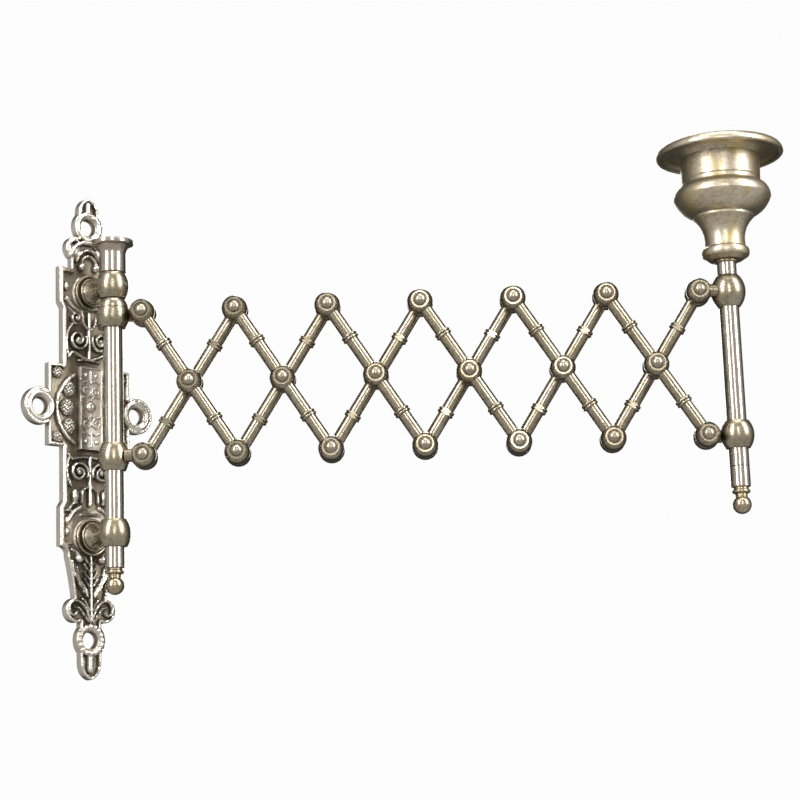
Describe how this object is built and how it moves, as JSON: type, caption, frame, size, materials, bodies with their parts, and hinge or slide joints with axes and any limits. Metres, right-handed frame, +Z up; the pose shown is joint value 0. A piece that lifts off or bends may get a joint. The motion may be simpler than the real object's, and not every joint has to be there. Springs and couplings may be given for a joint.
{
  "type": "wall sconce candle holder",
  "caption": "Wall sconce with a cast ornamental back plate and a swinging, extending scissor-lattice arm that carries a candle cup with a drip rim.",
  "frame": {"origin": "on the plate's back face, on its centre line, level with the two side screw eyelets", "axes": "+Z up, +X to the right along the wall, +Y into the wall; the room is on the -Y side"},
  "size_m": [0.1913, 0.1772, 0.1673],
  "materials": {
    "cast_plate": "bright worn nickel plate over a casting, dark in the hollows",
    "turned_knuckles": "satin aged nickel plate",
    "lattice_bars": "satin aged nickel plate with a yellow cast",
    "rivets": "satin aged nickel plate",
    "bright_tube": "bright drawn tube, nickel plated",
    "candle_cup": "satin nickel plate worn to brass on the socket",
    "bare_brass": "nickel plate mostly worn to brass",
    "steel_screws": "plain"
  },
  "bodies": {
    "wall_side": {"back_plate": "cast_plate", "upper_rosette": "turned_knuckles", "upper_bracket": "turned_knuckles", "lower_rosette": "turned_knuckles", "lower_bracket": "turned_knuckles", "bracket_screws": "steel_screws", "spindle_tube": "bright_tube", "spindle_cap": "bright_tube", "lock_pin": "steel_screws", "spindle_finial": "bare_brass"},
    "upper_knuckle": {"upper_knuckle": "turned_knuckles"},
    "left_slider": {"left_slider": "turned_knuckles"},
    "right_slider": {"right_slider": "turned_knuckles"},
    "candle_post": {"post_tube": "bright_tube", "post_ferrule": "bright_tube", "post_knuckle": "turned_knuckles", "post_finial": "bare_brass", "cup_seat": "bare_brass", "candle_cup": "candle_cup"},
    "front_bar_1": {"front_bar_1": "lattice_bars", "front_bar_1_rivets": "rivets"},
    "rear_bar_1": {"rear_bar_1": "lattice_bars", "first_rear_bar_rivet": "rivets"},
    "front_bar_2": {"front_bar_2": "lattice_bars", "front_bar_2_rivets": "rivets"},
    "rear_bar_2": {"rear_bar_2": "lattice_bars"},
    "front_bar_3": {"front_bar_3": "lattice_bars", "front_bar_3_rivets": "rivets"},
    "rear_bar_3": {"rear_bar_3": "lattice_bars"},
    "front_bar_4": {"front_bar_4": "lattice_bars", "front_bar_4_rivets": "rivets"},
    "rear_bar_4": {"rear_bar_4": "lattice_bars"},
    "front_bar_5": {"front_bar_5": "lattice_bars", "front_bar_5_rivets": "rivets"},
    "rear_bar_5": {"rear_bar_5": "lattice_bars"},
    "front_bar_6": {"front_bar_6": "lattice_bars", "front_bar_6_rivets": "rivets"},
    "rear_bar_6": {"rear_bar_6": "lattice_bars", "last_rear_bar_rivet": "rivets"}
  },
  "joints": [
    {"name": "arm_swing", "type": "hinge", "parent": "wall_side", "child": "upper_knuckle", "pos_m": [0, -0.016, 0.0301], "axis": [0, 0, 1], "range_deg": [-130, 38]},
    {"name": "lattice_spread", "type": "hinge", "parent": "upper_knuckle", "child": "front_bar_1", "pos_m": [0.00712, -0.02288, 0.0301], "axis": [-0.6947, -0.7193, 0], "range_deg": [-22, 43]},
    {"name": "cross_pivot_1", "type": "hinge", "parent": "front_bar_1", "child": "rear_bar_1", "pos_m": [0.01804, -0.03342, 0.00633], "axis": [-0.6947, -0.7193, 0], "range_deg": [-87, 45]},
    {"name": "top_pivot_2", "type": "hinge", "parent": "rear_bar_1", "child": "front_bar_2", "pos_m": [0.02895, -0.04396, 0.0301], "axis": [-0.6947, -0.7193, 0], "range_deg": [-45, 87]},
    {"name": "cross_pivot_2", "type": "hinge", "parent": "front_bar_2", "child": "rear_bar_2", "pos_m": [0.03986, -0.0545, 0.00633], "axis": [-0.6947, -0.7193, 0], "range_deg": [-87, 45]},
    {"name": "top_pivot_3", "type": "hinge", "parent": "rear_bar_2", "child": "front_bar_3", "pos_m": [0.05078, -0.06504, 0.0301], "axis": [-0.6947, -0.7193, 0], "range_deg": [-45, 87]},
    {"name": "cross_pivot_3", "type": "hinge", "parent": "front_bar_3", "child": "rear_bar_3", "pos_m": [0.06169, -0.07558, 0.00633], "axis": [-0.6947, -0.7193, 0], "range_deg": [-87, 45]},
    {"name": "top_pivot_4", "type": "hinge", "parent": "rear_bar_3", "child": "front_bar_4", "pos_m": [0.07261, -0.08612, 0.0301], "axis": [-0.6947, -0.7193, 0], "range_deg": [-45, 87]},
    {"name": "cross_pivot_4", "type": "hinge", "parent": "front_bar_4", "child": "rear_bar_4", "pos_m": [0.08352, -0.09666, 0.00633], "axis": [-0.6947, -0.7193, 0], "range_deg": [-87, 45]},
    {"name": "top_pivot_5", "type": "hinge", "parent": "rear_bar_4", "child": "front_bar_5", "pos_m": [0.09444, -0.1072, 0.0301], "axis": [-0.6947, -0.7193, 0], "range_deg": [-45, 87]},
    {"name": "cross_pivot_5", "type": "hinge", "parent": "front_bar_5", "child": "rear_bar_5", "pos_m": [0.10535, -0.11774, 0.00633], "axis": [-0.6947, -0.7193, 0], "range_deg": [-87, 45]},
    {"name": "top_pivot_6", "type": "hinge", "parent": "rear_bar_5", "child": "front_bar_6", "pos_m": [0.11626, -0.12827, 0.0301], "axis": [-0.6947, -0.7193, 0], "range_deg": [-45, 87]},
    {"name": "cross_pivot_6", "type": "hinge", "parent": "front_bar_6", "child": "rear_bar_6", "pos_m": [0.12718, -0.13881, 0.00633], "axis": [-0.6947, -0.7193, 0], "range_deg": [-87, 45]},
    {"name": "post_pivot", "type": "hinge", "parent": "rear_bar_6", "child": "candle_post", "pos_m": [0.13809, -0.14935, 0.0301], "axis": [-0.6947, -0.7193, 0], "range_deg": [-23, 44]},
    {"name": "left_slider_pivot", "type": "hinge", "parent": "rear_bar_1", "child": "left_slider", "pos_m": [0.00712, -0.02288, -0.01744], "axis": [-0.6947, -0.7193, 0], "range_deg": [-23, 44]},
    {"name": "right_slider_pivot", "type": "hinge", "parent": "front_bar_6", "child": "right_slider", "pos_m": [0.13809, -0.14935, -0.01744], "axis": [-0.6947, -0.7193, 0], "range_deg": [-44, 23]}
  ],
  "couplings": [
    {"joint": "cross_pivot_1", "follows": "lattice_spread", "ratio": -2},
    {"joint": "top_pivot_2", "follows": "lattice_spread", "ratio": 2},
    {"joint": "cross_pivot_2", "follows": "lattice_spread", "ratio": -2},
    {"joint": "top_pivot_3", "follows": "lattice_spread", "ratio": 2},
    {"joint": "cross_pivot_3", "follows": "lattice_spread", "ratio": -2},
    {"joint": "top_pivot_4", "follows": "lattice_spread", "ratio": 2},
    {"joint": "cross_pivot_4", "follows": "lattice_spread", "ratio": -2},
    {"joint": "top_pivot_5", "follows": "lattice_spread", "ratio": 2},
    {"joint": "cross_pivot_5", "follows": "lattice_spread", "ratio": -2},
    {"joint": "top_pivot_6", "follows": "lattice_spread", "ratio": 2},
    {"joint": "cross_pivot_6", "follows": "lattice_spread", "ratio": -2},
    {"joint": "post_pivot", "follows": "lattice_spread", "ratio": 1},
    {"joint": "left_slider_pivot", "follows": "lattice_spread", "ratio": 1},
    {"joint": "right_slider_pivot", "follows": "lattice_spread", "ratio": -1}
  ]
}
